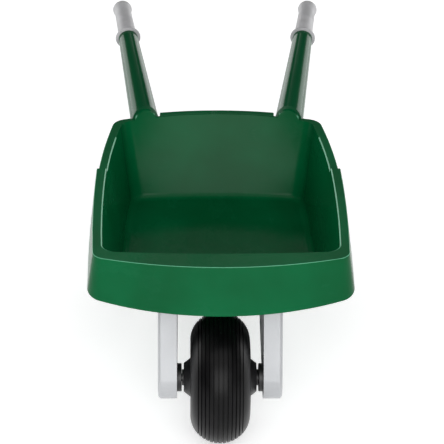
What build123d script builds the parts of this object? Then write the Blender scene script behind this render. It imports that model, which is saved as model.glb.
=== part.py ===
from build123d import *
import math
import os

# Child's wheelbarrow, in millimetres. +Z is up, the wheel is towards -Y and the handles towards +Y.
# The origin is on the floor, under the middle of the whole object.

# Overall sizes
tyre_radius = 84.0
tyre_half_width = 38.0
floor_above_axle = 77.0
tub_depth = 110.0
tub_length = 378.0
axle_z = tyre_radius
floor_height = axle_z + floor_above_axle
rim_height = floor_height + tub_depth

# Tub: plan sizes of the inner face at the floor and at the rim
floor_half_front = 127.0
floor_half_middle = 126.0
floor_half_rear = 119.0
rim_half_front = 146.0
rim_half_middle = 150.0
rim_half_rear = 134.0
floor_front_reach = tyre_radius - 12.0
rim_front_reach = floor_front_reach - 76.0
middle_reach = tub_length - 156.0
rim_rear_reach = tub_length
floor_rear_reach = rim_rear_reach - 34.0
floor_front_bow = 2.0
rim_front_bow = 6.0
floor_rear_bow = 6.0
rim_rear_bow = 27.0
floor_corner_radius = 22.0
rim_corner_radius = 18.0
side_bow = 2.5
tub_wall = 3.5
floor_fillet = 11.0

# Tub: rim, step and skirt
step_reach = middle_reach
step_drop = 4.0
step_inset = 2.5
crease_half_front = 157.0
crease_half_middle = 163.0
crease_front_reach = rim_front_reach - 15.0
crease_bow = 23.0
crease_corner_radius = 17.0
hem_half_front = 167.0
hem_half_middle = 170.5
hem_front_reach = rim_front_reach - 18.0
hem_bow = 32.0
hem_corner_radius = 26.0
hem_height = rim_height - 66.0
rear_rim_half = 147.0
rear_rim_reach = rim_rear_reach + 7.0
rear_rim_bow = 24.0
rear_rim_corner_radius = 26.0
apron_low_z = rim_height - 64.0
apron_corner_z = rim_height - 52.0
side_hem_z = rim_height - 42.0
rear_hem_z = rim_height - 28.0
rim_thickness = 3.5
edge_round = 1.2
front_slope_start = rim_front_reach - 11.0
front_slope_deg = 3.5
front_slope_run = 60.0
rear_flare = 4.0

# Handles
handle_half_spread = 103.5
handle_root_reach = rim_rear_reach + 22.0
handle_root_z = rim_height - 9.0
handle_rise_deg = 13.0
handle_splay_deg = 8.4
tube_root_radius = 20.0
tube_grip_radius = 14.6
tube_wall = 3.6
tube_length = 197.5
stem_radius = 10.5
stem_length = 73.0
stub_length = 58.0
stub_wall = 3.0
lobe_radius = tube_root_radius - 3.0

# Grips
grip_length = 87.5
grip_radius_front = 14.6
grip_radius_waist = 13.3
grip_bulb_radius = 15.3
grip_bulb_depth = 10.7
bulb_neck = 9.0
flange_radius = 19.8
flange_thickness = 4.0
flange_bevel = 1.0

# Side frames
arm_inner_half = tyre_half_width + 16.8
arm_thickness = 24.0
arm_web = 3.5
nose_radius = 27.0
arm_lean_deg = 22.0
arm_top_z = floor_height + 44.0
rail_depth = 31.5
rail_knee_reach = rim_rear_reach - 128.0
upright_depth = 13.0
upright_top_z = rim_height - 27.0
axle_boss_radius = 15.0
rib_thickness = 3.0
rib_pitch = 62.0
rib_setback = 3.0
boss_setback = 1.0
arm_edge_radius = 4.2

# Rear brace
brace_thickness = 9.0
brace_bottom_z = rim_height - 75.0

# Legs
leg_reach = rim_rear_reach - 12.0
leg_depth = 34.0
leg_top_width = 20.0
leg_foot_width = 22.0
leg_splay = 26.0
foot_height = 20.0
foot_wall = 3.0
leg_brace_z = 78.0
leg_brace_height = 30.0
leg_brace_thickness = 4.0

# Front cross member
cross_reach = 155.0
cross_depth = 26.0
cross_height = 24.0

# Wheel
tyre_crown_depth = 36.0
tyre_bore_radius = tyre_radius - 38.0
rim_wall = 3.0
rim_web_half = tyre_half_width - 12.0
hub_cone_base_radius = 24.1
hub_cone_base_half = tyre_half_width + 0.8
hub_cone_tip_radius = 18.3
hub_cone_tip_half = tyre_half_width + 8.3
neck_radius = 10.3
neck_end_half = tyre_half_width + 10.6
collar_radius = 18.1
collar_gap = 0.3
collar_bevel = 0.8
bush_outer_radius = 8.0
axle_radius = 5.0
axle_end_half = arm_inner_half + 17.2
groove_count = 12
groove_width = 1.6
groove_depth = 1.3

# Clearances
fit_gap = 0.12
running_gap = 0.06
tube_gap = 0.6
brace_gap = 1.0
brace_side_gap = 2.2

# Fasteners
screw_radius = 2.0
screw_head_radius = 4.0
screw_head_height = 2.6

# The wheel's front and the grips' ends lie equally far from the origin.
handle_reach_share = math.cos(math.radians(handle_rise_deg)) * math.cos(math.radians(handle_splay_deg))
grips_reach = handle_root_reach + (tube_length + grip_length) * handle_reach_share
axle_y = (tyre_radius - grips_reach) / 2
arm_outer_half = arm_inner_half + arm_thickness
arm_middle_half = arm_inner_half + arm_thickness / 2
underside_z = floor_height - tub_wall
rail_bottom_z = underside_z - rail_depth
brace_half_width = handle_half_spread - tube_root_radius - brace_side_gap


def lerp(a, b, t):
    return a + (b - a) * t


def plan_outline(
    z, half_front, half_middle, half_rear, front, middle, rear, bow_front, bow_rear, r_front, r_rear
):
    """A closed plan shape, symmetric about X = 0, all of whose edges are bowed arcs."""
    y_front = axle_y + front
    y_middle = axle_y + middle
    y_rear = axle_y + rear
    with BuildSketch(Plane.XY.offset(z)) as outline:
        with BuildLine():
            ThreePointArc((-half_front, y_front), (0, y_front - bow_front), (half_front, y_front))
            for side in (-1, 1):
                ThreePointArc(
                    (side * half_front, y_front),
                    (side * ((half_front + half_middle) / 2 + side_bow), (y_front + y_middle) / 2),
                    (side * half_middle, y_middle),
                )
                ThreePointArc(
                    (side * half_middle, y_middle),
                    (side * ((half_middle + half_rear) / 2 + side_bow), (y_middle + y_rear) / 2),
                    (side * half_rear, y_rear),
                )
            ThreePointArc((half_rear, y_rear), (0, y_rear + bow_rear), (-half_rear, y_rear))
        make_face()
        corners = outline.vertices().group_by(Axis.Y)
        fillet(corners[0], r_front)
        corners = outline.vertices().sort_by(Axis.Y)
        fillet([v for v in corners if abs(v.Y - y_rear) < 0.01], r_rear)
    return outline.sketch


def bowl_outline(z, grow=0.0):
    """The tub's inner face at height z, grown outwards by a wall or a clearance."""
    t = (z - floor_height) / (rim_height - floor_height)
    return plan_outline(
        z,
        lerp(floor_half_front, rim_half_front, t) + grow,
        lerp(floor_half_middle, rim_half_middle, t) + grow,
        lerp(floor_half_rear, rim_half_rear, t) + grow,
        lerp(floor_front_reach, rim_front_reach, t) - grow,
        middle_reach,
        lerp(floor_rear_reach, rim_rear_reach, t) + grow,
        lerp(floor_front_bow, rim_front_bow, t),
        lerp(floor_rear_bow, rim_rear_bow, t),
        lerp(floor_corner_radius, rim_corner_radius, t) + grow,
        lerp(floor_corner_radius, rim_corner_radius, t) + grow,
    )


def skirt_outline(z, grow=0.0):
    """The outer face of the raised rim and its flared skirt at height z."""
    t = (rim_height - z) / (rim_height - hem_height)
    return plan_outline(
        z,
        lerp(crease_half_front, hem_half_front, t) + grow,
        lerp(crease_half_middle, hem_half_middle, t) + grow,
        lerp(rear_rim_half, rear_rim_half + hem_half_middle - crease_half_middle, t) + grow,
        lerp(crease_front_reach, hem_front_reach, t) - grow,
        middle_reach,
        rear_rim_reach + lerp(0, rear_flare, t) + grow,
        lerp(crease_bow, hem_bow, t),
        rear_rim_bow,
        lerp(crease_corner_radius, hem_corner_radius, t) + grow,
        rear_rim_corner_radius + grow,
    )


def rear_reach(z, x, grow):
    """How far behind the axle the tub's bowed back wall lies at height z and side distance x."""
    t = (z - floor_height) / (rim_height - floor_height)
    half = lerp(floor_half_rear, rim_half_rear, t)
    bow = lerp(floor_rear_bow, rim_rear_bow, t)
    return lerp(floor_rear_reach, rim_rear_reach, t) + bow * (1 - (x / half) ** 2) + grow


def leg_centre(z):
    """The side distance of a leg's middle at height z."""
    return arm_middle_half + leg_splay * (1 - z / rail_bottom_z)


# The right handle's own plane: its Z runs along the handle and its Y points down.
rise = math.radians(handle_rise_deg)
splay = math.radians(handle_splay_deg)
handle_direction = Vector(
    math.sin(splay) * math.cos(rise), math.cos(splay) * math.cos(rise), math.sin(rise)
)
handle_plane = Plane(
    origin=(handle_half_spread, axle_y + handle_root_reach, handle_root_z),
    x_dir=(math.cos(splay), -math.sin(splay), 0),
    z_dir=handle_direction,
)
handle_profile_plane = Plane(
    origin=handle_plane.origin, x_dir=handle_plane.x_dir, z_dir=-handle_plane.y_dir
)
handle_axis = Axis(handle_plane.origin, handle_plane.z_dir)
rear_rim_z = rim_height - step_drop
above_rim = 30.0
tube_bore_radius = tube_root_radius - tube_wall
stub_radius = tube_bore_radius - fit_gap
wheel_axis = Axis((0, axle_y, axle_z), (1, 0, 0))
wheel_profile_plane = Plane(origin=(0, axle_y, axle_z), x_dir=(1, 0, 0), z_dir=(0, -1, 0))

# Bowl helpers: the space inside, the block round it, and the space that other pieces keep clear of
with BuildPart() as cavity:
    loft([bowl_outline(floor_height), bowl_outline(rim_height + above_rim)], ruled=True)
    fillet(cavity.edges().group_by(Axis.Z)[0], floor_fillet)

with BuildPart() as bowl_block:
    loft([bowl_outline(underside_z, tub_wall), bowl_outline(rim_height + above_rim, tub_wall)], ruled=True)
    fillet(bowl_block.edges().group_by(Axis.Z)[0], floor_fillet + tub_wall)

with BuildPart() as bowl_clearance:
    loft(
        [
            bowl_outline(underside_z - tube_gap, tub_wall + tube_gap),
            bowl_outline(rim_height + above_rim, tub_wall + tube_gap),
        ],
        ruled=True,
    )

# Skirt helpers: the raised front rim with its apron, and the lower rear rim, each hollow from below
rim_length = rear_rim_reach + rear_rim_bow + hem_half_middle
step_plane = Plane(origin=(0, axle_y + step_reach, 0), x_dir=(1, 0, 0), z_dir=(0, 1, 0))
slope_rear_y = axle_y + front_slope_start
slope_front_y = slope_rear_y - front_slope_run

with BuildPart() as front_skirt:
    loft([skirt_outline(hem_height), skirt_outline(rim_height)], ruled=True)
    with BuildSketch(Plane.YZ):
        with BuildLine():
            Polyline(
                (slope_rear_y, rim_height),
                (slope_front_y, rim_height - front_slope_run * math.tan(math.radians(front_slope_deg))),
                (slope_front_y, rim_height + above_rim),
                (slope_rear_y, rim_height + above_rim),
                close=True,
            )
        make_face()
    extrude(amount=2 * hem_half_middle, both=True, mode=Mode.SUBTRACT)
    top_faces = front_skirt.faces().filter_by(lambda face: face.normal_at().Z > 0.9)
    ridge = [edge for edge in top_faces[0].edges() if edge in top_faces[1].edges()]
    fillet([edge for face in top_faces for edge in face.edges() if edge not in ridge], edge_round)
    loft(
        [
            skirt_outline(hem_height, -rim_thickness),
            skirt_outline(rim_height - rim_thickness, -rim_thickness),
        ],
        ruled=True,
        mode=Mode.SUBTRACT,
    )
    split(bisect_by=step_plane, keep=Keep.BOTTOM)

with BuildPart() as rear_skirt:
    loft([skirt_outline(hem_height, -step_inset), skirt_outline(rear_rim_z, -step_inset)], ruled=True)
    fillet(rear_skirt.edges().group_by(Axis.Z)[-1], edge_round)
    loft(
        [
            skirt_outline(hem_height, -step_inset - rim_thickness),
            skirt_outline(rear_rim_z - rim_thickness, -step_inset - rim_thickness),
        ],
        ruled=True,
        mode=Mode.SUBTRACT,
    )
    split(bisect_by=step_plane, keep=Keep.TOP)
    # the rim stops at the handles, where the back wall's tabs take over
    with BuildSketch(Plane.XY.offset(hem_height)):
        with Locations((0, axle_y + rear_rim_reach + rear_rim_bow)):
            Rectangle(2 * handle_half_spread, 4 * rear_rim_bow)
    extrude(amount=rim_height, mode=Mode.SUBTRACT)

# The skirt's lower edge, seen from the side
hem_start_y = axle_y + hem_front_reach - hem_bow - 20
hem_side_y = axle_y + 60
blank_low_z = hem_height - 20
with BuildPart() as hem_cutter:
    with BuildSketch(Plane.YZ):
        with BuildLine():
            hem_line = Spline(
                (hem_start_y, apron_low_z - 2),
                (axle_y + hem_front_reach - hem_bow, apron_low_z),
                (axle_y + hem_front_reach + 14, apron_corner_z),
                (hem_side_y, side_hem_z - 2),
                (axle_y + step_reach, side_hem_z + 3),
                (axle_y + rim_length, rear_hem_z),
            )
            Polyline(
                hem_line @ 1,
                (axle_y + rim_length, blank_low_z),
                (hem_start_y, blank_low_z),
                hem_line @ 0,
            )
        make_face()
    extrude(amount=2 * hem_half_middle, both=True)

# The tabs that stand up in front of the handle tubes, in line with the back wall
with BuildPart() as right_lobe:
    add(bowl_block.part)
    add(cavity.part, mode=Mode.SUBTRACT)
    with BuildSketch(handle_plane.offset(-2 * lobe_radius)):
        Circle(lobe_radius)
    extrude(amount=4 * lobe_radius, mode=Mode.INTERSECT)

# The stubs behind the back wall that the handle tubes push over, each with a screw hole below
screw_along = 34.0
screw_plane = Plane(
    origin=handle_plane.origin + handle_direction * screw_along,
    x_dir=handle_plane.x_dir,
    z_dir=handle_plane.y_dir,
)
head_lift = 0.15
screw_seat = lerp(tube_root_radius, tube_grip_radius, screw_along / tube_length) + head_lift

with BuildPart() as right_stub:
    with BuildSketch(handle_profile_plane):
        with BuildLine():
            Polyline(
                (stub_radius - stub_wall, -stub_length / 2),
                (stub_radius, -stub_length / 2),
                (stub_radius, stub_length),
                (stub_radius - stub_wall, stub_length),
                close=True,
            )
        make_face()
    revolve(axis=handle_axis)
    with BuildSketch(screw_plane):
        Circle(screw_radius + fit_gap / 2)
    extrude(amount=stub_radius + 1, mode=Mode.SUBTRACT)
    add(bowl_block.part, mode=Mode.SUBTRACT)

# The bevel along the rim's inner edge, before the step and behind it; the back wall's edge stays square
bevel_overshoot = 1.0
plain_wall_depth = 100.0
with BuildPart() as front_bevel:
    loft(
        [
            bowl_outline(rim_height - edge_round - bevel_overshoot, -bevel_overshoot),
            bowl_outline(rim_height + bevel_overshoot, edge_round + bevel_overshoot),
        ],
        ruled=True,
    )
    split(bisect_by=step_plane, keep=Keep.BOTTOM)

with BuildPart() as rear_bevel:
    loft(
        [
            bowl_outline(rear_rim_z - edge_round - bevel_overshoot, -bevel_overshoot),
            bowl_outline(rear_rim_z + bevel_overshoot, edge_round + bevel_overshoot),
        ],
        ruled=True,
    )
    split(bisect_by=step_plane, keep=Keep.TOP)
    with BuildSketch(Plane.XY.offset(rear_rim_z - 2 * edge_round)):
        with Locations((0, axle_y + rim_rear_reach)):
            Rectangle(4 * rim_half_middle, plain_wall_depth)
    extrude(amount=6 * edge_round, mode=Mode.SUBTRACT)

# Places of the screws that hold the tub down, along the side frames
rib_start = 62.0
screw_cells = (0, 2, 3)
tub_screw_places = [
    (side * arm_middle_half, axle_y + rib_start + (cell + 0.5) * rib_pitch)
    for side in (-1, 1)
    for cell in screw_cells
]
screw_bite = 2.4
tub_boss_radius = 5.0

with BuildPart() as tub:
    add(front_skirt.part)
    add(rear_skirt.part)
    add(hem_cutter.part, mode=Mode.SUBTRACT)
    with BuildSketch(handle_plane.offset(-2 * tube_root_radius)):
        Circle(tube_root_radius + tube_gap)
    extrude(amount=6 * tube_root_radius, mode=Mode.SUBTRACT)
    mirrored_notch = Plane(
        origin=(-handle_plane.origin.X, handle_plane.origin.Y, handle_plane.origin.Z),
        x_dir=(handle_plane.x_dir.X, -handle_plane.x_dir.Y, 0),
        z_dir=(-handle_direction.X, handle_direction.Y, handle_direction.Z),
    )
    with BuildSketch(mirrored_notch.offset(-2 * tube_root_radius)):
        Circle(tube_root_radius + tube_gap)
    extrude(amount=6 * tube_root_radius, mode=Mode.SUBTRACT)
    add(bowl_block.part)
    # the bowl's walls end at the rim: lower behind the step, higher before it
    with BuildSketch(Plane.XY.offset(rim_height)):
        with Locations((0, axle_y)):
            Rectangle(4 * hem_half_middle, 8 * hem_half_middle)
    extrude(amount=2 * above_rim, mode=Mode.SUBTRACT)
    with BuildSketch(Plane.XY.offset(rear_rim_z)):
        with Locations((0, axle_y + step_reach + 2 * hem_half_middle)):
            Rectangle(4 * hem_half_middle, 4 * hem_half_middle)
    extrude(amount=2 * above_rim, mode=Mode.SUBTRACT)
    add(right_lobe.part)
    mirror(right_lobe.part, about=Plane.YZ)
    add(right_stub.part)
    mirror(right_stub.part, about=Plane.YZ)
    add(cavity.part, mode=Mode.SUBTRACT)
    add(front_bevel.part, mode=Mode.SUBTRACT)
    add(rear_bevel.part, mode=Mode.SUBTRACT)
    with BuildSketch(Plane.XY.offset(underside_z - arm_web)):
        with Locations(tub_screw_places):
            Circle(tub_boss_radius)
    extrude(amount=arm_web)
    with BuildSketch(Plane.XY.offset(underside_z - arm_web)):
        with Locations(tub_screw_places):
            Circle(screw_radius + fit_gap / 2)
    extrude(amount=arm_web + screw_bite, mode=Mode.SUBTRACT)
tub.part.label = "tub"

# Handle tubes: tapered, coped to the back wall, with a thinner stem inside the grip
with BuildPart() as right_handle_tube:
    with BuildSketch(handle_profile_plane):
        with BuildLine():
            Polyline(
                (tube_bore_radius, -stub_length / 2),
                (tube_root_radius, -stub_length / 2),
                (tube_root_radius, 0),
                (tube_grip_radius, tube_length),
                (stem_radius, tube_length),
                (stem_radius, tube_length + stem_length),
                (stem_radius - tube_wall, tube_length + stem_length),
                (stem_radius - tube_wall, tube_length),
                (tube_bore_radius, stub_length + tube_wall),
                close=True,
            )
        make_face()
    revolve(axis=handle_axis)
    add(bowl_clearance.part, mode=Mode.SUBTRACT)
    with BuildSketch(screw_plane):
        Circle(screw_radius + fit_gap)
    extrude(amount=2 * tube_root_radius, mode=Mode.SUBTRACT)
right_handle_tube.part.label = "right_handle_tube"

with BuildPart() as left_handle_tube:
    mirror(right_handle_tube.part, about=Plane.YZ)
left_handle_tube.part.label = "left_handle_tube"

# Grips: a flange, a waisted sleeve and a domed bulb
grip_end = tube_length + grip_length
bulb_along = grip_end - grip_bulb_depth
stem_end = tube_length + stem_length + 1
flange_start = tube_length + fit_gap
flange_end = tube_length + flange_thickness
with BuildPart() as right_grip:
    with BuildSketch(handle_profile_plane):
        with BuildLine():
            Polyline(
                (0, stem_end),
                (stem_radius + fit_gap, stem_end),
                (stem_radius + fit_gap, flange_start),
                (flange_radius - flange_bevel, flange_start),
                (flange_radius, flange_start + flange_bevel),
                (flange_radius, flange_end - flange_bevel),
                (flange_radius - flange_bevel, flange_end),
                (grip_radius_front, flange_end),
                (grip_radius_waist, bulb_along - bulb_neck),
            )
            Spline(
                (grip_radius_waist, bulb_along - bulb_neck),
                (grip_bulb_radius - 0.6, bulb_along - bulb_neck / 3),
                (grip_bulb_radius, bulb_along),
                (0.86 * grip_bulb_radius, grip_end - 0.4 * grip_bulb_depth),
                (0, grip_end),
                tangents=((0, 1), (-1, 0)),
            )
            Line((0, grip_end), (0, stem_end))
        make_face()
    revolve(axis=handle_axis)
right_grip.part.label = "right_grip"

with BuildPart() as left_grip:
    mirror(right_grip.part, about=Plane.YZ)
left_grip.part.label = "left_grip"

with BuildPart() as handle_screws:
    with BuildSketch(screw_plane.offset(stub_radius - stub_wall - 1)):
        Circle(screw_radius)
    extrude(amount=screw_seat - stub_radius + stub_wall + 1)
    with BuildSketch(screw_plane.offset(screw_seat)):
        Circle(screw_head_radius)
    extrude(amount=screw_head_height)
    mirror(about=Plane.YZ)
handle_screws.part.label = "handle_screws"

# Rear brace: hugs the back wall between the handles and carries the frames' uprights
brace_grow = tub_wall + brace_gap + brace_thickness
pad_stand = 2.0
pad_height = 46.0
pad_inset = 2.0
pad_corner = 4.0
pad_blank = 50.0
brace_bolt_drops = (13.0, 35.0)
upright_front = rear_reach(upright_top_z, arm_inner_half, brace_grow) + pad_stand
upright_rear = upright_front + upright_depth
pad_places = [(side * arm_middle_half, upright_top_z - pad_height / 2) for side in (-1, 1)]
brace_bolt_places = [
    (side * arm_middle_half, upright_top_z - drop) for side in (-1, 1) for drop in brace_bolt_drops
]
bolt_bite = 7.0

with BuildPart() as rear_brace:
    loft([bowl_outline(brace_bottom_z, brace_grow), bowl_outline(rear_rim_z, brace_grow)], ruled=True)
    with BuildSketch(Plane.XY.offset(brace_bottom_z)):
        with Locations((0, axle_y + rim_rear_reach)):
            Rectangle(2 * brace_half_width, rim_rear_reach)
    extrude(amount=rim_height, mode=Mode.INTERSECT)
    with BuildSketch(Plane.XZ.offset(-axle_y - upright_front)):
        with Locations(*pad_places):
            RectangleRounded(arm_thickness - pad_inset, pad_height, pad_corner)
    extrude(amount=pad_blank)
    loft(
        [
            bowl_outline(brace_bottom_z - 1, tub_wall + brace_gap),
            bowl_outline(rear_rim_z + 1, tub_wall + brace_gap),
        ],
        ruled=True,
        mode=Mode.SUBTRACT,
    )
    with BuildSketch(Plane.XZ.offset(-axle_y - upright_front)):
        with Locations(*brace_bolt_places):
            Circle(screw_radius + fit_gap / 2)
    extrude(amount=bolt_bite + 1, mode=Mode.SUBTRACT)
rear_brace.part.label = "rear_brace"

# Side frames: each is a fork arm, a rail under the tub and an upright behind it, open on the inner side
nose = (axle_y, axle_z)
lean = math.radians(arm_lean_deg)
knee_rise = rail_bottom_z - axle_z
knee_distance = math.hypot(rail_knee_reach, knee_rise)
rail_slope = math.atan2(knee_rise, rail_knee_reach) + math.asin(nose_radius / knee_distance)
nose_front = (nose[0] - nose_radius * math.cos(lean), nose[1] + nose_radius * math.sin(lean))
nose_under = (nose[0] + nose_radius * math.sin(rail_slope), nose[1] - nose_radius * math.cos(rail_slope))
wall_clearance = 1.5
top_share = (arm_top_z - floor_height) / (rim_height - floor_height)
arm_top_rear = lerp(floor_front_reach, rim_front_reach, top_share) - rim_front_bow - tub_wall - wall_clearance
floor_front = floor_front_reach - floor_front_bow - tub_wall - wall_clearance
floor_rear_run = 10.0
floor_rear = rear_reach(floor_height, arm_inner_half, tub_wall) + floor_rear_run
leg_front = axle_y + leg_reach - leg_depth / 2
leg_rear = axle_y + leg_reach + leg_depth / 2
rib_count = int((leg_front - axle_y - rib_start - rib_thickness) / rib_pitch) + 1
tongue_depth = 24.0
tongue_width = 15.0
tongue_top_z = underside_z - arm_web - 2.0
cross_top_z = underside_z - arm_web - fit_gap
cross_bolt_z = cross_top_z - cross_height / 2
leg_bolt_z = (rail_bottom_z + tongue_top_z) / 2 + 1
bolt_shift = 7.0
leg_bolt_places = [(axle_y + leg_reach + shift, leg_bolt_z) for shift in (-bolt_shift, bolt_shift)]
cross_bolt_places = [(axle_y + cross_reach + shift, cross_bolt_z) for shift in (-bolt_shift, bolt_shift)]
rib_blank = 2 * (arm_top_z - rail_bottom_z) + 4 * nose_radius
rib_places = [(axle_y + rib_start + i * rib_pitch, underside_z) for i in range(rib_count)]

with BuildPart() as right_side_frame:
    with BuildSketch(Plane.YZ.offset(arm_inner_half)) as frame_profile:
        with BuildLine():
            Polyline(
                nose_front,
                (nose_front[0] + (arm_top_z - nose_front[1]) * math.tan(lean), arm_top_z),
                (axle_y + arm_top_rear, arm_top_z),
                (axle_y + floor_front, underside_z),
                (axle_y + floor_rear, underside_z),
                (axle_y + upright_front, brace_bottom_z + pad_stand),
                (axle_y + upright_front, upright_top_z),
                (axle_y + upright_rear, upright_top_z),
                (axle_y + upright_rear, rail_bottom_z),
                (axle_y + rail_knee_reach, rail_bottom_z),
                nose_under,
                nose,
                close=True,
            )
        make_face()
        with Locations(nose):
            Circle(nose_radius)
    extrude(amount=arm_thickness)
    fillet(right_side_frame.edges().group_by(Axis.X)[-1], arm_edge_radius)
    with BuildSketch(Plane.YZ.offset(arm_inner_half)) as pocket:
        add(frame_profile.sketch_local)
        offset(amount=-arm_web, kind=Kind.INTERSECTION, mode=Mode.REPLACE)
    extrude(amount=arm_thickness - arm_web, mode=Mode.SUBTRACT)
    with BuildSketch(Plane.YZ.offset(arm_inner_half)):
        with Locations(*rib_places):
            Rectangle(rib_thickness, rib_blank)
        add(frame_profile.sketch_local, mode=Mode.INTERSECT)
    extrude(amount=arm_thickness - rib_setback)
    with BuildSketch(Plane.YZ.offset(arm_inner_half)):
        with Locations(nose):
            Circle(axle_boss_radius)
    extrude(amount=arm_thickness - boss_setback)
    with BuildSketch(Plane.YZ.offset(arm_inner_half)):
        with Locations(nose):
            Circle(axle_radius + fit_gap / 2)
    extrude(amount=axle_end_half - arm_inner_half + fit_gap, mode=Mode.SUBTRACT)
    # holes for the tub's bosses, the leg's tongue and the bolts
    with BuildSketch(Plane.XY.offset(underside_z - 2 * arm_web)):
        with Locations(*[place for place in tub_screw_places if place[0] > 0]):
            Circle(tub_boss_radius + fit_gap)
    extrude(amount=3 * arm_web, mode=Mode.SUBTRACT)
    with BuildSketch(Plane.XY.offset(rail_bottom_z - 1)):
        with Locations((arm_middle_half, axle_y + leg_reach)):
            Rectangle(tongue_width + 2 * fit_gap, tongue_depth + 2 * fit_gap)
    extrude(amount=arm_web + 2, mode=Mode.SUBTRACT)
    with BuildSketch(Plane.YZ.offset(arm_outer_half - 2 * arm_web)):
        with Locations(*leg_bolt_places, *cross_bolt_places):
            Circle(screw_radius + fit_gap)
    extrude(amount=3 * arm_web, mode=Mode.SUBTRACT)
    with BuildSketch(Plane.XZ.offset(-axle_y - upright_front - 2 * arm_web)):
        with Locations(*[place for place in brace_bolt_places if place[0] > 0]):
            Circle(screw_radius + fit_gap)
    extrude(amount=3 * arm_web, mode=Mode.SUBTRACT)
right_side_frame.part.label = "right_side_frame"

with BuildPart() as left_side_frame:
    mirror(right_side_frame.part, about=Plane.YZ)
left_side_frame.part.label = "left_side_frame"

# Cross member: a channel under the tub's floor, open downwards, bolted between the side frames
cross_half = arm_outer_half - arm_web - fit_gap
cross_wall = 3.0
cross_end = 10.0
cross_edge_radius = 2.0
with BuildPart() as front_cross_member:
    with Locations((0, axle_y + cross_reach, cross_top_z - cross_height / 2)):
        Box(2 * cross_half, cross_depth, cross_height)
    fillet(front_cross_member.edges().filter_by(Axis.X).group_by(Axis.Z)[-1], cross_edge_radius)
    with Locations((0, axle_y + cross_reach, cross_top_z - cross_wall - cross_height / 2)):
        Box(2 * (cross_half - cross_end), cross_depth - 2 * cross_wall, cross_height, mode=Mode.SUBTRACT)
    with BuildSketch(Plane.YZ.offset(-arm_outer_half)):
        with Locations(*cross_bolt_places):
            Circle(screw_radius + fit_gap / 2)
    extrude(amount=2 * arm_outer_half, mode=Mode.SUBTRACT)
front_cross_member.part.label = "front_cross_member"

with BuildPart() as cross_member_bolts:
    with BuildSketch(Plane.YZ.offset(cross_half - bolt_bite)):
        with Locations(*cross_bolt_places):
            Circle(screw_radius)
    extrude(amount=arm_outer_half - cross_half + bolt_bite)
    with BuildSketch(Plane.YZ.offset(arm_outer_half)):
        with Locations(*cross_bolt_places):
            Circle(screw_head_radius)
    extrude(amount=screw_head_height)
    mirror(about=Plane.YZ)
cross_member_bolts.part.label = "cross_member_bolts"

with BuildPart() as rear_brace_bolts:
    with BuildSketch(Plane.XZ.offset(-axle_y - upright_front - arm_web)):
        with Locations(*brace_bolt_places):
            Circle(screw_radius)
    extrude(amount=arm_web + bolt_bite)
    with BuildSketch(Plane.XZ.offset(-axle_y - upright_front - arm_web)):
        with Locations(*brace_bolt_places):
            Circle(screw_head_radius)
    extrude(amount=-screw_head_height)
rear_brace_bolts.part.label = "rear_brace_bolts"

# Screws that hold the tub down, driven up from inside the side frames
washer_radius = 7.5
screw_tip_gap = 0.2
with BuildPart() as tub_screws:
    with BuildSketch(Plane.XY.offset(underside_z - arm_web)):
        with Locations(tub_screw_places):
            Circle(screw_radius)
    extrude(amount=arm_web + screw_bite - screw_tip_gap)
    with BuildSketch(Plane.XY.offset(underside_z - arm_web)):
        with Locations(tub_screw_places):
            Circle(washer_radius)
    extrude(amount=-screw_head_height)
tub_screws.part.label = "tub_screws"


def leg_section(z, width, depth, radius):
    """The leg's outline at height z, level with the floor."""
    with BuildSketch(Plane.XY.offset(z)) as section:
        with Locations((leg_centre(z), axle_y + leg_reach)):
            RectangleRounded(width, depth, radius)
    return section.sketch


# Legs: splayed posts with a tongue that plugs into the rail, and a cup on each foot
leg_corner = 5.0
cup_gap = 0.1
brace_face = leg_front - leg_brace_thickness
brace_low = leg_brace_z - leg_brace_height / 2
brace_high = leg_brace_z + leg_brace_height / 2
leg_brace_screw_levels = (leg_brace_z - 8.0, leg_brace_z + 8.0)
leg_brace_screw_places = [
    (side * leg_centre(level), level) for side in (-1, 1) for level in leg_brace_screw_levels
]
with BuildPart() as right_leg:
    loft(
        [
            leg_section(foot_wall + cup_gap, leg_foot_width, leg_depth, leg_corner),
            leg_section(rail_bottom_z, leg_top_width, leg_depth, leg_corner),
        ]
    )
    with BuildSketch(Plane.XY.offset(rail_bottom_z)):
        with Locations((arm_middle_half, axle_y + leg_reach)):
            Rectangle(tongue_width, tongue_depth)
    extrude(amount=tongue_top_z - rail_bottom_z)
    with BuildSketch(Plane.YZ.offset(arm_inner_half)):
        with Locations(*leg_bolt_places):
            Circle(screw_radius + fit_gap / 2)
    extrude(amount=arm_thickness, mode=Mode.SUBTRACT)
    with BuildSketch(Plane.XZ.offset(-brace_face)):
        with Locations(*leg_brace_screw_places):
            Circle(screw_radius + fit_gap / 2)
    extrude(amount=-leg_brace_thickness - bolt_bite - 1, mode=Mode.SUBTRACT)
right_leg.part.label = "right_leg"

with BuildPart() as left_leg:
    mirror(right_leg.part, about=Plane.YZ)
left_leg.part.label = "left_leg"

tongue_outer_half = arm_middle_half + tongue_width / 2
with BuildPart() as leg_bolts:
    with BuildSketch(Plane.YZ.offset(tongue_outer_half - bolt_bite)):
        with Locations(*leg_bolt_places):
            Circle(screw_radius)
    extrude(amount=arm_outer_half - tongue_outer_half + bolt_bite)
    with BuildSketch(Plane.YZ.offset(arm_outer_half)):
        with Locations(*leg_bolt_places):
            Circle(screw_head_radius)
    extrude(amount=screw_head_height)
    mirror(about=Plane.YZ)
leg_bolts.part.label = "leg_bolts"

foot_edge_radius = 1.5


def cup_section(z, grow):
    """The foot cup's outline at height z, grown outwards from the leg's foot."""
    return leg_section(z, leg_foot_width + 2 * grow, leg_depth + 2 * grow, leg_corner + grow)


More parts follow.
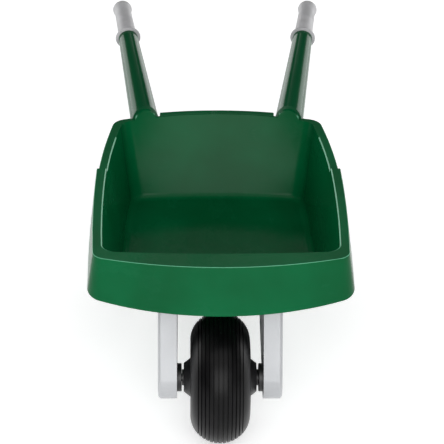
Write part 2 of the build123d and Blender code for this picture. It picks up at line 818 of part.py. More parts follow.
with BuildPart() as right_foot:
    loft([cup_section(0, foot_wall + cup_gap), cup_section(foot_height, foot_wall + cup_gap)])
    fillet(right_foot.edges().group_by(Axis.Z)[0], foot_edge_radius)
    loft([cup_section(foot_wall, cup_gap), cup_section(foot_height + 1, cup_gap)], mode=Mode.SUBTRACT)
right_foot.part.label = "right_foot"

with BuildPart() as left_foot:
    mirror(right_foot.part, about=Plane.YZ)
left_foot.part.label = "left_foot"

# Leg brace: a plate across the front of both legs
with BuildPart() as leg_brace:
    with BuildSketch(Plane.XZ.offset(-brace_face)):
        with BuildLine():
            Polyline(
                (-leg_centre(brace_low) - leg_top_width / 2, brace_low),
                (leg_centre(brace_low) + leg_top_width / 2, brace_low),
                (leg_centre(brace_high) + leg_top_width / 2, brace_high),
                (-leg_centre(brace_high) - leg_top_width / 2, brace_high),
                close=True,
            )
        make_face()
        with Locations(*leg_brace_screw_places):
            Circle(screw_radius + fit_gap, mode=Mode.SUBTRACT)
    extrude(amount=-leg_brace_thickness)
leg_brace.part.label = "leg_brace"

with BuildPart() as leg_brace_screws:
    with BuildSketch(Plane.XZ.offset(-brace_face)):
        with Locations(*leg_brace_screw_places):
            Circle(screw_radius)
    extrude(amount=-leg_brace_thickness - bolt_bite)
    with BuildSketch(Plane.XZ.offset(-brace_face)):
        with Locations(*leg_brace_screw_places):
            Circle(screw_head_radius)
    extrude(amount=screw_head_height)
leg_brace_screws.part.label = "leg_brace_screws"

# Axle, held still in the side frames, with a collar each side of the wheel
with BuildPart() as axle:
    with BuildSketch(Plane.YZ.offset(-axle_end_half)):
        with Locations(nose):
            Circle(axle_radius)
    extrude(amount=2 * axle_end_half)
axle.part.label = "axle"

with BuildPart() as right_axle_collar:
    with BuildSketch(Plane.YZ.offset(neck_end_half + collar_gap)):
        with Locations(nose):
            Circle(collar_radius)
            Circle(axle_radius + running_gap, mode=Mode.SUBTRACT)
    extrude(amount=arm_inner_half - neck_end_half - collar_gap)
    chamfer(right_axle_collar.edges().group_by(Axis.X)[0].sort_by(SortBy.LENGTH)[-1], collar_bevel)
right_axle_collar.part.label = "right_axle_collar"

with BuildPart() as left_axle_collar:
    mirror(right_axle_collar.part, about=Plane.YZ)
left_axle_collar.part.label = "left_axle_collar"

# Bushes, pressed into the rims, that turn on the axle
bush_inner_half = 10.0
bush_recess = 0.1
with BuildPart() as right_wheel_bush:
    with BuildSketch(Plane.YZ.offset(bush_inner_half)):
        with Locations(nose):
            Circle(bush_outer_radius)
            Circle(axle_radius + running_gap, mode=Mode.SUBTRACT)
    extrude(amount=neck_end_half - bush_recess - bush_inner_half)
right_wheel_bush.part.label = "right_wheel_bush"

with BuildPart() as left_wheel_bush:
    mirror(right_wheel_bush.part, about=Plane.YZ)
left_wheel_bush.part.label = "left_wheel_bush"

# Wheel rims: two hollow halves that meet in the middle, each with ribs and screw bosses
seam = 0.1
hub_tube_radius = bush_outer_radius + fit_gap / 2
rim_outer_radius = tyre_bore_radius - fit_gap
lip_half = tyre_half_width - 5.5
lip_depth = rim_outer_radius - rim_wall
web_inner_half = rim_web_half
web_outer_half = rim_web_half + rim_wall
hub_wall_radius = bush_outer_radius + 4.0
web_hollow_width = 7.6
web_hollow_radius = hub_cone_base_radius + web_hollow_width
wheel_rib_count = 6
rim_screw_count = 4
rim_screw_circle = (web_hollow_radius + lip_depth) / 2
rim_boss_radius = 5.5
rim_screw_start = 45.0

rib_span = lip_depth - hub_wall_radius
rim_profile = [
    (seam, rim_outer_radius),
    (lip_half, rim_outer_radius),
    (lip_half, lip_depth),
    (web_outer_half, lip_depth),
    (web_outer_half, web_hollow_radius),
    (hub_cone_base_half, hub_cone_base_radius),
    (hub_cone_tip_half, hub_cone_tip_radius),
    (hub_cone_tip_half, neck_radius),
    (neck_end_half, neck_radius),
    (neck_end_half, hub_tube_radius),
    (seam, hub_tube_radius),
    (seam, hub_wall_radius),
    (web_inner_half, hub_wall_radius),
    (web_inner_half, lip_depth),
    (seam, lip_depth),
]


def rim_half(side, hole_radius, hole_depth):
    """One half of the rim, to the right for side 1 and to the left for side -1, with its screw holes."""
    with BuildPart() as half:
        with BuildSketch(wheel_profile_plane):
            with BuildLine():
                Polyline(*[(side * along, radius) for along, radius in rim_profile], close=True)
            make_face()
        revolve(axis=wheel_axis)
        with BuildSketch(Plane.YZ.offset(side * seam)):
            with Locations(nose):
                with PolarLocations(hub_wall_radius + rib_span / 2, wheel_rib_count):
                    Rectangle(rib_span + 1, rim_wall)
                with PolarLocations(rim_screw_circle, rim_screw_count, start_angle=rim_screw_start):
                    Circle(rim_boss_radius)
        extrude(amount=side * (web_inner_half + 0.5))
        with BuildSketch(Plane.YZ):
            with Locations(nose):
                with PolarLocations(rim_screw_circle, rim_screw_count, start_angle=rim_screw_start):
                    Circle(hole_radius)
        extrude(amount=side * hole_depth, mode=Mode.SUBTRACT)
    return half.part


with BuildPart() as right_rim:
    add(rim_half(1, screw_radius + fit_gap / 2, bolt_bite + 1))
right_rim.part.label = "right_rim"

with BuildPart() as left_rim:
    add(rim_half(-1, screw_radius + fit_gap, web_outer_half + 1))
left_rim.part.label = "left_rim"

rim_screw_seat = -web_outer_half
with BuildPart() as rim_screws:
    with BuildSketch(Plane.YZ.offset(rim_screw_seat)):
        with Locations(nose):
            with PolarLocations(rim_screw_circle, rim_screw_count, start_angle=rim_screw_start):
                Circle(screw_radius)
    extrude(amount=bolt_bite - rim_screw_seat)
    with BuildSketch(Plane.YZ.offset(rim_screw_seat)):
        with Locations(nose):
            with PolarLocations(rim_screw_circle, rim_screw_count, start_angle=rim_screw_start):
                Circle(screw_head_radius)
    extrude(amount=-screw_head_height)
rim_screws.part.label = "rim_screws"

# Tyre: a full round crown with fine grooves, and beads that close over the rims' edges
bead_inner_half = lip_half + fit_gap
bead_gap = 0.6
bead_radius = lip_depth + bead_gap
shoulder_radius = tyre_radius - tyre_crown_depth
groove_step = 8.6
with BuildPart() as tyre:
    with BuildSketch(wheel_profile_plane):
        with BuildLine():
            Line((-tyre_half_width, bead_radius), (-tyre_half_width, shoulder_radius))
            EllipticalCenterArc(
                (0, shoulder_radius), tyre_half_width, tyre_crown_depth, start_angle=0, arc_size=180
            )
            Polyline(
                (tyre_half_width, shoulder_radius),
                (tyre_half_width, bead_radius),
                (bead_inner_half, bead_radius),
                (bead_inner_half, tyre_bore_radius),
                (-bead_inner_half, tyre_bore_radius),
                (-bead_inner_half, bead_radius),
                (-tyre_half_width, bead_radius),
            )
        make_face()
        for k in range(groove_count // 2):
            lean_angle = (k + 0.5) * groove_step
            across = tyre_half_width * math.sin(math.radians(lean_angle))
            up = shoulder_radius + tyre_crown_depth * math.cos(math.radians(lean_angle))
            with Locations((across, up), (-across, up)):
                Rectangle(groove_width, 2 * groove_depth, mode=Mode.SUBTRACT)
    revolve(axis=wheel_axis)
tyre.part.label = "tyre"

os.makedirs("parts", exist_ok=True)
export_step(tub.part, "parts/tub.step")
export_step(right_handle_tube.part, "parts/right_handle_tube.step")
export_step(left_handle_tube.part, "parts/left_handle_tube.step")
export_step(right_grip.part, "parts/right_grip.step")
export_step(left_grip.part, "parts/left_grip.step")
export_step(handle_screws.part, "parts/handle_screws.step")
export_step(rear_brace.part, "parts/rear_brace.step")
export_step(right_side_frame.part, "parts/right_side_frame.step")
export_step(left_side_frame.part, "parts/left_side_frame.step")
export_step(front_cross_member.part, "parts/front_cross_member.step")
export_step(cross_member_bolts.part, "parts/cross_member_bolts.step")
export_step(rear_brace_bolts.part, "parts/rear_brace_bolts.step")
export_step(tub_screws.part, "parts/tub_screws.step")
export_step(right_leg.part, "parts/right_leg.step")
export_step(left_leg.part, "parts/left_leg.step")
export_step(leg_bolts.part, "parts/leg_bolts.step")
export_step(right_foot.part, "parts/right_foot.step")
export_step(left_foot.part, "parts/left_foot.step")
export_step(leg_brace.part, "parts/leg_brace.step")
export_step(leg_brace_screws.part, "parts/leg_brace_screws.step")
export_step(axle.part, "parts/axle.step")
export_step(right_axle_collar.part, "parts/right_axle_collar.step")
export_step(left_axle_collar.part, "parts/left_axle_collar.step")
export_step(right_wheel_bush.part, "parts/right_wheel_bush.step")
export_step(left_wheel_bush.part, "parts/left_wheel_bush.step")
export_step(right_rim.part, "parts/right_rim.step")
export_step(left_rim.part, "parts/left_rim.step")
export_step(rim_screws.part, "parts/rim_screws.step")
export_step(tyre.part, "parts/tyre.step")
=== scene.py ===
import math
import bpy
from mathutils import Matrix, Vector


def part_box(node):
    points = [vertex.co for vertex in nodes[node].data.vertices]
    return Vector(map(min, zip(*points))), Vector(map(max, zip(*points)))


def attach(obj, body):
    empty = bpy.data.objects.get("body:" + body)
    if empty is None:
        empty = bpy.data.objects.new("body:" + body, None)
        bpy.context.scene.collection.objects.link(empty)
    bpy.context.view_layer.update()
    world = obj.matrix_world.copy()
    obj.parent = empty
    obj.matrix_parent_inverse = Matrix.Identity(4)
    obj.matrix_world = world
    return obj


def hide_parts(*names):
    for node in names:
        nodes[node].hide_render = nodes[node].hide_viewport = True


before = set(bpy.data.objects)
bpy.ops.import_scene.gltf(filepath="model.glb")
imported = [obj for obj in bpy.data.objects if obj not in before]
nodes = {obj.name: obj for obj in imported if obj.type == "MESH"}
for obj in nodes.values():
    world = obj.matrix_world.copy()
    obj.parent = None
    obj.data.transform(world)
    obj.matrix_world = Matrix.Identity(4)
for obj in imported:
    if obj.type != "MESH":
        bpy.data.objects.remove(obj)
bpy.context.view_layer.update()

axleLow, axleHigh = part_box("axle")
axleCentre = (axleLow + axleHigh) / 2
print("frame loaded:", len(nodes), "pieces")


# A shader socket that takes part in arithmetic
class Sock:
    def __init__(self, finish, socket):
        self.finish = finish
        self.socket = socket

    def calc(self, operation, first, second):
        return self.finish.node("ShaderNodeMath", {"operation": operation}, {0: first, 1: second})

    def __add__(self, other):
        return self.calc("ADD", self, other)

    def __sub__(self, other):
        return self.calc("SUBTRACT", self, other)

    def __mul__(self, other):
        return self.calc("MULTIPLY", self, other)

    def __rsub__(self, other):
        return self.calc("SUBTRACT", other, self)

    __radd__ = __add__
    __rmul__ = __mul__


# One material: node() adds any node, surface() ends it with the shader
class Finish:
    def __init__(self, name):
        self.material = bpy.data.materials.new(name)
        self.material.use_nodes = True
        self.tree = self.material.node_tree
        self.tree.nodes.clear()
        self.place = self.node("ShaderNodeTexCoord", out="Object")
        self.facing = self.node("ShaderNodeTexCoord", out="Normal")

    def node(self, kind, settings=None, sockets=None, out=0):
        made = self.tree.nodes.new(kind)
        for key, value in (settings or {}).items():
            setattr(made, key, value)
        for key, value in (sockets or {}).items():
            if isinstance(value, Sock):
                self.tree.links.new(value.socket, made.inputs[key])
            else:
                made.inputs[key].default_value = value
        return Sock(self, made.outputs[out])

    def noise(self, scale, detail, stretch=(1, 1, 1)):
        spot = self.node("ShaderNodeMapping", {}, {"Vector": self.place, "Scale": stretch})
        return self.node("ShaderNodeTexNoise", {}, {"Vector": spot, "Scale": scale, "Detail": detail})

    def band(self, value, low, high):
        return self.node(
            "ShaderNodeMapRange", {"interpolation_type": "SMOOTHSTEP"},
            {"Value": value, "From Min": low, "From Max": high, "To Min": 0.0, "To Max": 1.0},
        )

    def mix(self, amount, first, second):
        return self.node("ShaderNodeMix", {"data_type": "RGBA"}, {0: amount, 6: first, 7: second}, out=2)

    # mask for a painted highlight: picks the rounded and bevelled rim lines by facing and height, where a
    # light colour stands in for lamp glints; each band is one that rises, then one that falls
    def edges(self, facingUp, facingDown, heightUp, heightDown):
        facing = self.node("ShaderNodeSeparateXYZ", {}, {0: self.facing}, out=2)
        height = self.node("ShaderNodeSeparateXYZ", {}, {0: self.place}, out=2)
        rounded = self.band(facing, *facingUp) * (1 - self.band(facing, *facingDown))
        return rounded * self.band(height, *heightUp) * (1 - self.band(height, *heightDown))

    def bump(self, height, distance):
        return self.node("ShaderNodeBump", {}, {"Height": height, "Distance": distance, "Strength": 1.0})

    # fixed holds the sockets that are the same all over, with _ for each space in their names
    def surface(self, colour, roughness, normal=None, **fixed):
        sockets = {"Base Color": colour, "Roughness": roughness}
        sockets.update({key.replace("_", " "): value for key, value in fixed.items()})
        if normal:
            sockets["Normal"] = normal
        shader = self.node("ShaderNodeBsdfPrincipled", {}, sockets)
        output = self.tree.nodes.new("ShaderNodeOutputMaterial")
        self.tree.links.new(shader.socket, output.inputs["Surface"])
        return self.material


def rgb(red, green, blue):
    return (red, green, blue, 1.0)


# In every look, a noise is (scale, detail, stretch), a band is (from, to) and a depth is in metres
greenLook = {
    "deep": rgb(0.0, 0.082, 0.024),
    "lit": rgb(0.0, 0.108, 0.034),
    "cloud": (9.0, 3.0),
    "cloudBand": (0.3, 0.7),
    "rubbed": rgb(0.012, 0.17, 0.075),
    "rubbedAmount": 0.12,
    "scuff": (16.0, 5.0, (1.0, 0.4, 1.3)),
    "scuffBand": (0.5, 0.8),
    "scuffRough": 0.14,
    # the next three entries paint a highlight: a pale green laid on the rounded rim and crease lines, where
    # lamps would glint
    "edge": rgb(0.16, 0.52, 0.32),
    "edgeAmount": 0.8,
    "edgeBands": ((0.5, 0.6), (0.92, 0.97), (0.2, 0.205), (0.271, 0.273)),
    "rough": 0.24,
    "grain": (1900.0, 2.0),
    "grainRough": 0.1,
    "grainDepth": 0.00006,
    "shine": 0.1,
}


def greenPlastic(name, look):
    f = Finish(name)
    cloud = f.noise(*look["cloud"])
    grain = f.noise(*look["grain"])
    scuff = f.band(f.noise(*look["scuff"]), *look["scuffBand"])
    colour = f.mix(f.band(cloud, *look["cloudBand"]), look["deep"], look["lit"])
    colour = f.mix(scuff * look["rubbedAmount"], colour, look["rubbed"])
    # painted highlight: pale green mixed into the colour along the rounded rim and crease lines
    colour = f.mix(f.edges(*look["edgeBands"]) * look["edgeAmount"], colour, look["edge"])
    roughness = look["rough"] + scuff * look["scuffRough"] + (grain - 0.5) * look["grainRough"]
    return f.surface(colour, roughness, f.bump(grain, look["grainDepth"]), Specular_IOR_Level=look["shine"])


tubeLook = {
    "deep": rgb(0.0, 0.055, 0.018),
    "lit": rgb(0.0, 0.07, 0.023),
    "cloud": (22.0, 2.0),
    "cloudRough": 0.05,
    "rough": 0.15,
    "hair": (520.0, 2.0, (1.0, 0.06, 1.0)),
    "hairBand": (0.66, 0.8),
    "hairRough": 0.12,
    "ripple": (140.0, 1.0, (1.0, 0.3, 1.0)),
    "rippleDepth": 0.00008,
    "shine": 0.24,
}


def greenTube(name, look):
    f = Finish(name)
    cloud = f.noise(*look["cloud"])
    ripple = f.noise(*look["ripple"])
    hair = f.band(f.noise(*look["hair"]), *look["hairBand"])
    colour = f.mix(cloud, look["deep"], look["lit"])
    roughness = look["rough"] + hair * look["hairRough"] + cloud * look["cloudRough"]
    return f.surface(colour, roughness, f.bump(ripple, look["rippleDepth"]), Specular_IOR_Level=look["shine"])


silverLook = {
    "base": rgb(0.47, 0.48, 0.495),
    "dark": rgb(0.41, 0.42, 0.435),
    "cloud": (14.0, 3.0),
    "cloudShare": 0.6,
    "flow": (34.0, 3.0, (1.0, 0.3, 0.3)),
    "flowShare": 0.4,
    "patchBand": (0.35, 0.65),
    "rough": 0.34,
    "flowRough": 0.12,
    "fleck": rgb(0.75, 0.76, 0.8),
    "fleckNoise": (2600.0, 1.0),
    "fleckBand": (0.6, 0.75),
    "fleckAmount": 0.3,
    "fleckDepth": 0.00003,
    "metal": 0.15,
}


def silverPlastic(name, look):
    f = Finish(name)
    cloud = f.noise(*look["cloud"])
    fleck = f.noise(*look["fleckNoise"])
    flow = f.noise(*look["flow"])
    patch = cloud * look["cloudShare"] + flow * look["flowShare"]
    colour = f.mix(f.band(patch, *look["patchBand"]), look["dark"], look["base"])
    colour = f.mix(f.band(fleck, *look["fleckBand"]) * look["fleckAmount"], colour, look["fleck"])
    roughness = look["rough"] + (flow - 0.5) * look["flowRough"]
    return f.surface(colour, roughness, f.bump(fleck, look["fleckDepth"]), Metallic=look["metal"])


gripLook = {
    "base": rgb(0.38, 0.38, 0.39),
    "worn": rgb(0.45, 0.45, 0.46),
    "cloud": (40.0, 3.0),
    "cloudBand": (0.35, 0.65),
    "rough": 0.5,
    "grain": (1600.0, 2.0),
    "grainRough": 0.2,
    "grainDepth": 0.00006,
}


def gripPlastic(name, look):
    f = Finish(name)
    cloud = f.noise(*look["cloud"])
    grain = f.noise(*look["grain"])
    colour = f.mix(f.band(cloud, *look["cloudBand"]), look["base"], look["worn"])
    roughness = look["rough"] + (grain - 0.5) * look["grainRough"]
    return f.surface(colour, roughness, f.bump(grain, look["grainDepth"]))


tyreLook = {
    "base": rgb(0.0025, 0.0025, 0.0028),
    "dust": rgb(0.009, 0.009, 0.0094),
    "dustAmount": 0.5,
    "cloud": (26.0, 4.0),
    "cloudBand": (0.45, 0.75),
    "cloudRough": 0.2,
    "rough": 0.34,
    "grain": (1500.0, 2.0),
    "grainRough": 0.12,
    "grainDepth": 0.00005,
    "shine": 0.16,
}


def tyreRubber(name, look):
    f = Finish(name)
    cloud = f.noise(*look["cloud"])
    grain = f.noise(*look["grain"])
    colour = f.mix(f.band(cloud, *look["cloudBand"]) * look["dustAmount"], look["base"], look["dust"])
    roughness = look["rough"] + (cloud - 0.5) * look["cloudRough"] + (grain - 0.5) * look["grainRough"]
    return f.surface(colour, roughness, f.bump(grain, look["grainDepth"]), Specular_IOR_Level=look["shine"])


hubLook = {
    "base": rgb(0.012, 0.012, 0.013),
    "worn": rgb(0.035, 0.035, 0.036),
    "wornAmount": 0.6,
    "ring": (60.0, 3.0, (3.0, 0.4, 0.4)),
    "ringBand": (0.5, 0.75),
    "ringRough": 0.2,
    "rough": 0.4,
    "grain": (1800.0, 2.0),
    "grainDepth": 0.00005,
}


def hubPlastic(name, look):
    f = Finish(name)
    ring = f.noise(*look["ring"])
    grain = f.noise(*look["grain"])
    colour = f.mix(f.band(ring, *look["ringBand"]) * look["wornAmount"], look["base"], look["worn"])
    roughness = look["rough"] + (ring - 0.5) * look["ringRough"]
    return f.surface(colour, roughness, f.bump(grain, look["grainDepth"]))


steelLook = {
    "base": rgb(0.5, 0.5, 0.51),
    "dull": rgb(0.32, 0.32, 0.33),
    "spot": (90.0, 3.0),
    "spotBand": (0.55, 0.75),
    "spotRough": 0.15,
    "rough": 0.3,
    "streak": (900.0, 2.0, (0.05, 1.0, 1.0)),
    "streakRough": 0.15,
    "streakDepth": 0.00002,
}


def drawnSteel(name, look):
    f = Finish(name)
    streak = f.noise(*look["streak"])
    spot = f.band(f.noise(*look["spot"]), *look["spotBand"])
    colour = f.mix(spot, look["base"], look["dull"])
    roughness = look["rough"] + streak * look["streakRough"] + spot * look["spotRough"]
    return f.surface(colour, roughness, f.bump(streak, look["streakDepth"]), Metallic=1.0)


zincLook = dict(steelLook, base=rgb(0.6, 0.6, 0.6), rough=0.38)
bushLook = dict(gripLook, base=rgb(0.62, 0.6, 0.54), worn=rgb(0.5, 0.48, 0.43), rough=0.45)
cupLook = dict(hubLook, base=rgb(0.011, 0.011, 0.011), worn=rgb(0.05, 0.048, 0.045), rough=0.6)

greenBody = greenPlastic("greenBody", greenLook)
greenHandle = greenTube("greenHandle", tubeLook)
silverFrame = silverPlastic("silverFrame", silverLook)
greyGrip = gripPlastic("greyGrip", gripLook)
blackTyre = tyreRubber("blackTyre", tyreLook)
blackHub = hubPlastic("blackHub", hubLook)
axleSteel = drawnSteel("axleSteel", steelLook)
screwZinc = drawnSteel("screwZinc", zincLook)
paleBush = gripPlastic("paleBush", bushLook)
blackCup = hubPlastic("blackCup", cupLook)
print("finishes made")

finishOf = {
    "tub": greenBody, "rear_brace": greenBody,
    "left_handle_tube": greenHandle, "right_handle_tube": greenHandle,
    "left_grip": greyGrip, "right_grip": greyGrip,
    "left_side_frame": silverFrame, "right_side_frame": silverFrame, "front_cross_member": silverFrame,
    "left_leg": silverFrame, "right_leg": silverFrame, "leg_brace": silverFrame,
    "left_foot": blackCup, "right_foot": blackCup, "axle": axleSteel,
    "left_axle_collar": blackHub, "right_axle_collar": blackHub, "left_rim": blackHub, "right_rim": blackHub,
    "left_wheel_bush": paleBush, "right_wheel_bush": paleBush, "tyre": blackTyre,
    "handle_screws": screwZinc, "cross_member_bolts": screwZinc, "rear_brace_bolts": screwZinc,
    "tub_screws": screwZinc, "leg_bolts": screwZinc, "leg_brace_screws": screwZinc, "rim_screws": screwZinc,
}
for name, finish in finishOf.items():
    nodes[name].data.materials.clear()
    nodes[name].data.materials.append(finish)


def deselect():
    if bpy.context.object and bpy.context.object.mode != "OBJECT":
        bpy.ops.object.mode_set(mode="OBJECT")
    bpy.ops.object.select_all(action="DESELECT")


# A lathe: one ring of edges is pulled along Z and resized from ring to ring. rings holds (along, radius)
# pairs. A closed piece ends on the ring that it starts from; any other has both ends filled.
def turned(name, rings, segments, closed=False):
    deselect()
    bpy.ops.mesh.primitive_circle_add(
        vertices=segments, radius=rings[0][1], fill_type="NOTHING", location=(0, 0, rings[0][0])
    )
    piece = bpy.context.object
    piece.name = name
    piece.data.name = name
    bpy.ops.object.mode_set(mode="EDIT")
    bpy.ops.mesh.select_all(action="SELECT")
    for (before, wide), (along, radius) in zip(rings, rings[1:]):
        bpy.ops.mesh.extrude_edges_move(TRANSFORM_OT_translate={"value": (0, 0, along - before)})
        factor = radius / wide
        bpy.ops.transform.resize(value=(factor, factor, 1), center_override=(0, 0, along))
    if not closed:
        bpy.ops.mesh.edge_face_add()
        bpy.ops.mesh.select_all(action="DESELECT")
        bpy.ops.mesh.select_non_manifold(extend=False, use_boundary=True)
        bpy.ops.mesh.edge_face_add()
    bpy.ops.mesh.select_all(action="SELECT")
    bpy.ops.mesh.remove_doubles(threshold=0.00001)
    bpy.ops.mesh.normals_make_consistent(inside=False)
    bpy.ops.object.mode_set(mode="OBJECT")
    return piece


# the widest angle, in degrees, that still looks like one smooth surface
smoothAngle = 32


# Points +Z of the piece along aim, moves it to spot and settles both in its mesh
def settle(piece, spot, aim):
    deselect()
    piece.select_set(True)
    bpy.context.view_layer.objects.active = piece
    bpy.ops.object.transform_apply(location=True, rotation=True, scale=True)
    piece.rotation_euler = Vector((0, 0, 1)).rotation_difference(Vector(aim)).to_euler()
    piece.location = spot
    bpy.ops.object.transform_apply(location=True, rotation=True, scale=True)
    bpy.ops.object.shade_smooth_by_angle(angle=math.radians(smoothAngle))


# Gives the piece its finish and body, and hides the CAD nodes it stands for
def dress(piece, finish, body, slotName, *stoodFor):
    piece.data.materials.clear()
    piece.data.materials.append(finish)
    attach(piece, body)
    if stoodFor:
        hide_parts(*stoodFor)


tyreLow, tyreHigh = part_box("tyre")
tyreShape = {
    "half": (tyreHigh.x - tyreLow.x) / 2,
    "radius": (tyreHigh.z - tyreLow.z) / 2,
    "crown": 0.036,
    "bore": 0.046,
    "beadHalf": 0.03262,
    "beadRadius": 0.04348,
    "grooves": 6,  # on each side
    "grooveStep": 8.6,
    "grooveWidth": 0.0017,
    "grooveDepth": 0.0014,
    "grooveFloor": 0.5,  # as a share of its mouth
    "flankRings": 10,
    "beadRound": 0.0012,
    "beadInset": 0.0008,
    "segments": 168,
}


# One side from the crown to the bore, mirrored, and back to where it started
def tyreRings(shape):
    half, radius, crown = shape["half"], shape["radius"], shape["crown"]
    shoulder = radius - crown

    def onCrown(degrees, down=0.0):
        turn = math.radians(degrees)
        return ((half - down) * math.sin(turn), shoulder + (crown - down) * math.cos(turn))

    side = []
    flank = math.degrees(shape["grooveWidth"] / 2 / crown)
    bottom = flank * shape["grooveFloor"]
    for groove in range(shape["grooves"]):
        middle = (groove + 0.5) * shape["grooveStep"]
        side += [onCrown(middle - flank), onCrown(middle - bottom, shape["grooveDepth"])]
        side += [onCrown(middle + bottom, shape["grooveDepth"]), onCrown(middle + flank)]
        side.append(onCrown(middle + shape["grooveStep"] / 2))
    last = shape["grooves"] * shape["grooveStep"]
    for step in range(1, shape["flankRings"] + 1):
        side.append(onCrown(last + (90 - last) * step / shape["flankRings"]))
    bead, beadHalf = shape["beadRadius"], shape["beadHalf"]
    side += [(half, bead + shape["beadRound"]), (half - shape["beadInset"], bead)]
    side += [(beadHalf, bead), (beadHalf, shape["bore"])]
    mirrored = [(-along, wide) for along, wide in reversed(side)]
    return mirrored + [onCrown(0)] + side + [mirrored[0]]


tyre = turned("tyreTread", tyreRings(tyreShape), tyreShape["segments"], closed=True)
settle(tyre, axleCentre, (1, 0, 0))

pipShape = {
    "rings": [(-0.0008, 0.0010), (0.0004, 0.0010), (0.0009, 0.0007), (0.0011, 0.0003)],
    "segments": 14,
    "angle": 74.0,  # up from straight ahead
}
pip = turned("tyrePip", pipShape["rings"], pipShape["segments"])
pipTurn = math.radians(pipShape["angle"])
pipWay = Vector((0, -math.cos(pipTurn), math.sin(pipTurn)))
settle(pip, axleCentre + pipWay * tyreShape["radius"], pipWay)
dress(tyre, blackTyre, "wheel", "black_tyre", "tyre")
dress(pip, blackTyre, "wheel", "black_tyre")
print("tyre turned")

handle = {
    "spread": 0.1035,  # half the distance between the roots
    "behindAxle": 0.400,
    "height": 0.262,
    "rise": 13.0,
    "splay": 8.4,
    "tube": 0.1975,
    "grip": 0.0875,
}
gripShape = {
    "front": 0.0146,
    "waist": 0.0133,
    "bulb": 0.0153,
    "bulbDepth": 0.0107,
    "flange": 0.0198,
    "flangeThick": 0.004,
    # along from its front face, and in from its rim
    "flangeFront": [(0.0002, 0.0012), (0.0005, 0.0004), (0.0012, 0.0)],
    # along from its back face, and in from its rim
    "flangeBack": [(-0.0012, 0.0), (-0.0004, 0.0005), (0.0, 0.0014)],
    # along from its back face, and out from the sleeve
    "flangeFoot": [(0.0004, 0.0015), (0.0014, 0.0003), (0.0022, 0.0)],
    "stem": 0.0107,
    "stemInset": 0.0002,
    "stemLength": 0.075,
    "ribs": 30,
    "ribDepth": 0.0007,
    "ribGapFront": 0.003,
    "ribGapBack": 0.010,
    "ribSlices": 4,  # round the sleeve, for each rib and its groove
    "sunkSlices": 2,
    "sunkFrom": 0.0005,
    "sunkTo": 0.0002,
    "sunkReach": 0.0005,
    "waistRings": 12,
    "waistEase": 0.9,
    "neck": [(0.007, 0.0004), (0.004, 0.0013)],  # along before the bulb, out from the waist
    "bulbRings": 10,
    "bulbFrom": -12,  # degrees
    "bulbStep": 11.0,
    "bulbEase": 0.7,
    "bulbInset": 0.0004,
    "tip": 0.0012,
}


# From inside the tube, round the flange, along the sleeve and over the bulb
def gripRings(shape, start, end):
    bulbAt = end - shape["bulbDepth"]
    flangeEnd = start + shape["flangeThick"]
    rings = [(start + shape["stemLength"], shape["stem"]), (start + shape["stemInset"], shape["stem"])]
    rings += [(start + along, shape["flange"] - inward) for along, inward in shape["flangeFront"]]
    rings += [(flangeEnd + along, shape["flange"] - inward) for along, inward in shape["flangeBack"]]
    rings += [(flangeEnd + along, shape["front"] + outward) for along, outward in shape["flangeFoot"]]
    ribStart = flangeEnd + shape["ribGapFront"]
    ribEnd = bulbAt - shape["ribGapBack"]
    for step in range(shape["waistRings"] + 1):
        share = step / shape["waistRings"]
        ease = math.sin(share * math.pi / 2) ** shape["waistEase"]
        swell = shape["front"] + (shape["waist"] - shape["front"]) * ease
        rings.append((ribStart + (ribEnd - ribStart) * share, swell))
    rings += [(bulbAt - along, shape["waist"] + outward) for along, outward in shape["neck"]]
    for step in range(shape["bulbRings"]):
        turn = math.radians(shape["bulbFrom"] + step * shape["bulbStep"])
        along = bulbAt + math.sin(turn) * (end - bulbAt - shape["bulbInset"])
        rings.append((along, max(shape["tip"], shape["bulb"] * math.cos(turn) ** shape["bulbEase"])))
    return rings, ribStart, ribEnd


# side is 1 for the right and -1 for the left
def makeGrip(side, name, stoodFor):
    start, end = handle["tube"], handle["tube"] + handle["grip"]
    rings, ribStart, ribEnd = gripRings(gripShape, start, end)
    segments = gripShape["ribs"] * gripShape["ribSlices"]
    grip = turned(name, rings, segments)
    for vertex in grip.data.vertices:
        outward = math.hypot(vertex.co.x, vertex.co.y)
        level = vertex.co.z + grip.location.z
        turn = math.degrees(math.atan2(vertex.co.y, vertex.co.x))
        sunk = round(turn * segments / 360) % gripShape["ribSlices"] < gripShape["sunkSlices"]
        ribbed = ribStart + gripShape["sunkFrom"] < level < ribEnd + gripShape["sunkTo"]
        vertex.select = sunk and ribbed and outward > gripShape["waist"] - gripShape["sunkReach"]
    bpy.ops.object.mode_set(mode="EDIT")
    bpy.ops.mesh.select_mode(type="VERT")
    factor = 1 - gripShape["ribDepth"] / gripShape["waist"]
    bpy.ops.transform.resize(value=(factor, factor, 1), center_override=(0, 0, 0))
    bpy.ops.object.mode_set(mode="OBJECT")
    rise, splay = math.radians(handle["rise"]), math.radians(handle["splay"])
    way = Vector((side * math.sin(splay) * math.cos(rise), math.cos(splay) * math.cos(rise), math.sin(rise)))
    root = Vector((side * handle["spread"], axleCentre.y + handle["behindAxle"], handle["height"]))
    settle(grip, root, way)
    dress(grip, greyGrip, "frame", "grey_grip", stoodFor)


makeGrip(1, "rightGripSleeve", "right_grip")
makeGrip(-1, "leftGripSleeve", "left_grip")
print("grips turned")

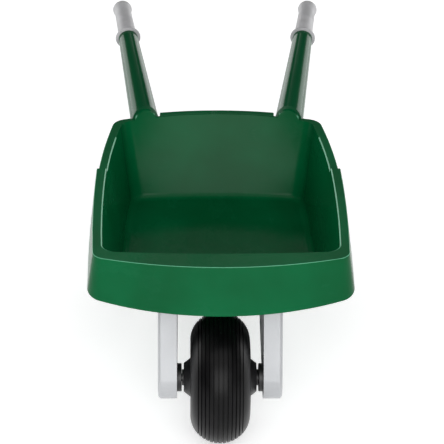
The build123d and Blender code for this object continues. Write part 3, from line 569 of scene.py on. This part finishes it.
studio = {
    "floorSize": 30.0,
    "floorShade": 0.97,
    "floorTint": 0.99,
    "floorRough": 0.9,
    "paperNoise": (300.0, 2.0),
    "worldStrength": 0.08,
    "floorGlow": 0.4,
}
softboxes = {
    "topBox": {"place": (0.0, -1.5, 3.1), "aim": (0, -0.2, 0), "size": (4.4, 2.2), "glow": 1.1},
    "frontBox": {"place": (0.0, -3.6, 1.65), "aim": (0, 0, 0.3), "size": (3.6, 2.6), "glow": 3.6},
    "backBox": {"place": (0.0, 3.4, 2.75), "aim": (0, -0.3, 0.2), "size": (1.4, 0.45), "glow": 1.8},
    "leftBox": {"place": (-2.4, 1.9, 0.9), "aim": (0, 0.3, 0.3), "size": (4.2, 1.7), "glow": 2.6},
    "rightBox": {"place": (2.4, 1.9, 0.9), "aim": (0, 0.3, 0.3), "size": (4.2, 1.7), "glow": 2.6},
}
viewpoint = {
    "aside": -0.038,
    "beforeAxle": 1.905,
    "height": 1.333,
    "down": 28.26,  # degrees
    "lens": 144.1,
    "sensor": 36.0,
    "shift": 0.0716,
}

deselect()
bpy.ops.mesh.primitive_plane_add(size=studio["floorSize"], location=(0, 0, 0))
floor = bpy.context.object
floor.name = "floor"
floorFinish = Finish("floorPaper")
paper = floorFinish.noise(*studio["paperNoise"])
shade = studio["floorShade"]
tinted = shade * studio["floorTint"]
floorColour = floorFinish.mix(paper, rgb(shade, shade, shade), rgb(tinted, tinted, shade))
floor.data.materials.append(
    floorFinish.surface(
        floorColour, studio["floorRough"],
        Emission_Color=rgb(1.0, 1.0, 1.0), Emission_Strength=studio["floorGlow"],
    )
)

world = bpy.data.worlds.new("studio")
bpy.context.scene.world = world
world.use_nodes = True
dim = world.node_tree.nodes["Background"]
dim.inputs["Color"].default_value = rgb(1.0, 1.0, 1.0)
dim.inputs["Strength"].default_value = studio["worldStrength"]
pale = world.node_tree.nodes.new("ShaderNodeBackground")  # what is seen behind the floor, and lights nothing
pale.inputs["Color"].default_value = rgb(1.0, 1.0, 1.0)
path = world.node_tree.nodes.new("ShaderNodeLightPath")
choice = world.node_tree.nodes.new("ShaderNodeMixShader")
world.node_tree.links.new(path.outputs["Is Camera Ray"], choice.inputs[0])
world.node_tree.links.new(dim.outputs[0], choice.inputs[1])
world.node_tree.links.new(pale.outputs[0], choice.inputs[2])
world.node_tree.links.new(choice.outputs[0], world.node_tree.nodes["World Output"].inputs["Surface"])


# A soft light panel; glow is how bright its face is
def softbox(name, place, aim, size, glow):
    bpy.ops.object.light_add(type="AREA", location=place)
    lamp = bpy.context.object
    lamp.name = name
    lamp.data.shape = "RECTANGLE"
    lamp.data.size, lamp.data.size_y = size
    lamp.data.energy = glow * math.pi * size[0] * size[1]
    lamp.rotation_euler = (Vector(aim) - Vector(place)).to_track_quat("-Z", "Y").to_euler()


for name, box in softboxes.items():
    softbox(name, **box)

bpy.ops.object.camera_add(
    location=(viewpoint["aside"], axleCentre.y - viewpoint["beforeAxle"], viewpoint["height"]),
    rotation=(math.radians(90 - viewpoint["down"]), 0, 0),
)
camera = bpy.context.object
camera.data.lens = viewpoint["lens"]
camera.data.sensor_width = viewpoint["sensor"]
camera.data.shift_x = viewpoint["shift"]
bpy.context.scene.camera = camera
bpy.context.scene.view_settings.view_transform = "Standard"
print("studio set")
